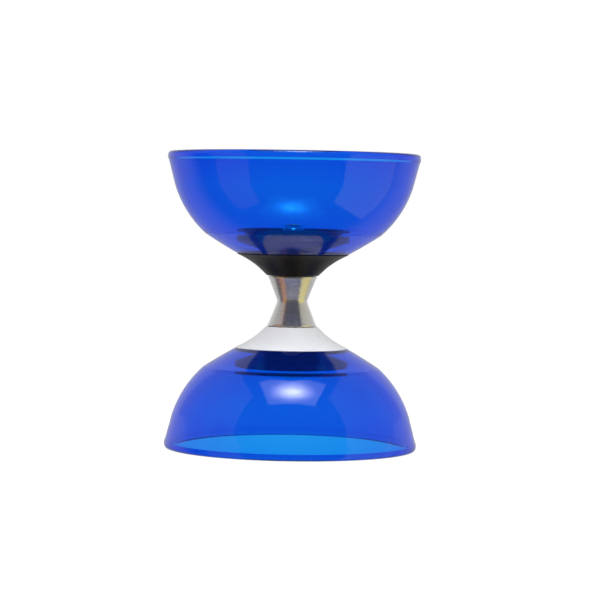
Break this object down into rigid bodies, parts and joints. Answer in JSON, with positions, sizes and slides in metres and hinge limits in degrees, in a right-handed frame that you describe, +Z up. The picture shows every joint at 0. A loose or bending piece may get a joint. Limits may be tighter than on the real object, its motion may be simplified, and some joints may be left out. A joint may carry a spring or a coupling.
{
  "type": "bearing diabolo",
  "caption": "Juggling diabolo: clear blue bowl-shaped cups back to back, flared black and white hubs, and a waisted metal string roller that turns freely on ball bearings.",
  "frame": {"origin": "on the floor, at the centre of the lower cup's rim", "axes": "+Z up along the axle, from the lower cup to the upper cup; X and Y are across, and all round alike"},
  "size_m": [0.127, 0.127, 0.149],
  "materials": {
    "clear_blue": "glossy, see-through blue",
    "black_plastic": "satin",
    "white_plastic": "satin",
    "polished_steel": "turned and polished",
    "plated_steel": "bright zinc plate",
    "axle_steel": "bright",
    "bush_metal": "turned",
    "spacer_metal": "turned",
    "spring_steel": "dark oiled",
    "bearing_steel": "ground",
    "ball_steel": "mirror",
    "cage_steel": "pressed sheet",
    "nylon": "natural nylon"
  },
  "bodies": {
    "cups_and_axle": {"lower_cup": "clear_blue", "lower_inner_hub": "black_plastic", "lower_hub_bush": "bush_metal", "lower_washer": "plated_steel", "lower_lock_nut": "plated_steel", "lower_lock_nut_insert": "nylon", "lower_inner_spacer": "spacer_metal", "upper_cup": "clear_blue", "upper_inner_hub": "black_plastic", "upper_hub_bush": "bush_metal", "upper_washer": "plated_steel", "upper_lock_nut": "plated_steel", "upper_lock_nut_insert": "nylon", "upper_inner_spacer": "spacer_metal", "upper_outer_hub": "black_plastic", "lower_outer_hub": "white_plastic", "axle": "axle_steel", "lower_bearing_inner_ring": "bearing_steel", "middle_bearing_inner_ring": "bearing_steel", "upper_bearing_inner_ring": "bearing_steel"},
    "roller": {"roller": "polished_steel", "lower_bearing_outer_ring": "bearing_steel", "middle_bearing_outer_ring": "bearing_steel", "upper_bearing_outer_ring": "bearing_steel", "lower_bearing_bottom_shield": "cage_steel", "lower_bearing_top_shield": "cage_steel", "middle_bearing_bottom_shield": "cage_steel", "middle_bearing_top_shield": "cage_steel", "upper_bearing_bottom_shield": "cage_steel", "upper_bearing_top_shield": "cage_steel", "lower_outer_spacer": "spacer_metal", "upper_outer_spacer": "spacer_metal", "lower_retaining_clip": "spring_steel", "upper_retaining_clip": "spring_steel"},
    "lower_ball_set": {"lower_bearing_balls": "ball_steel", "lower_bearing_cage": "cage_steel"},
    "middle_ball_set": {"middle_bearing_balls": "ball_steel", "middle_bearing_cage": "cage_steel"},
    "upper_ball_set": {"upper_bearing_balls": "ball_steel", "upper_bearing_cage": "cage_steel"}
  },
  "joints": [
    {"name": "roller_spin", "type": "hinge", "parent": "cups_and_axle", "child": "roller", "pos_m": [0, 0, 0.0745], "axis": [0, 0, 1], "continuous": true},
    {"name": "lower_ball_spin", "type": "hinge", "parent": "cups_and_axle", "child": "lower_ball_set", "pos_m": [0, 0, 0.0663], "axis": [0, 0, 1], "continuous": true},
    {"name": "middle_ball_spin", "type": "hinge", "parent": "cups_and_axle", "child": "middle_ball_set", "pos_m": [0, 0, 0.0745], "axis": [0, 0, 1], "continuous": true},
    {"name": "upper_ball_spin", "type": "hinge", "parent": "cups_and_axle", "child": "upper_ball_set", "pos_m": [0, 0, 0.0827], "axis": [0, 0, 1], "continuous": true}
  ]
}
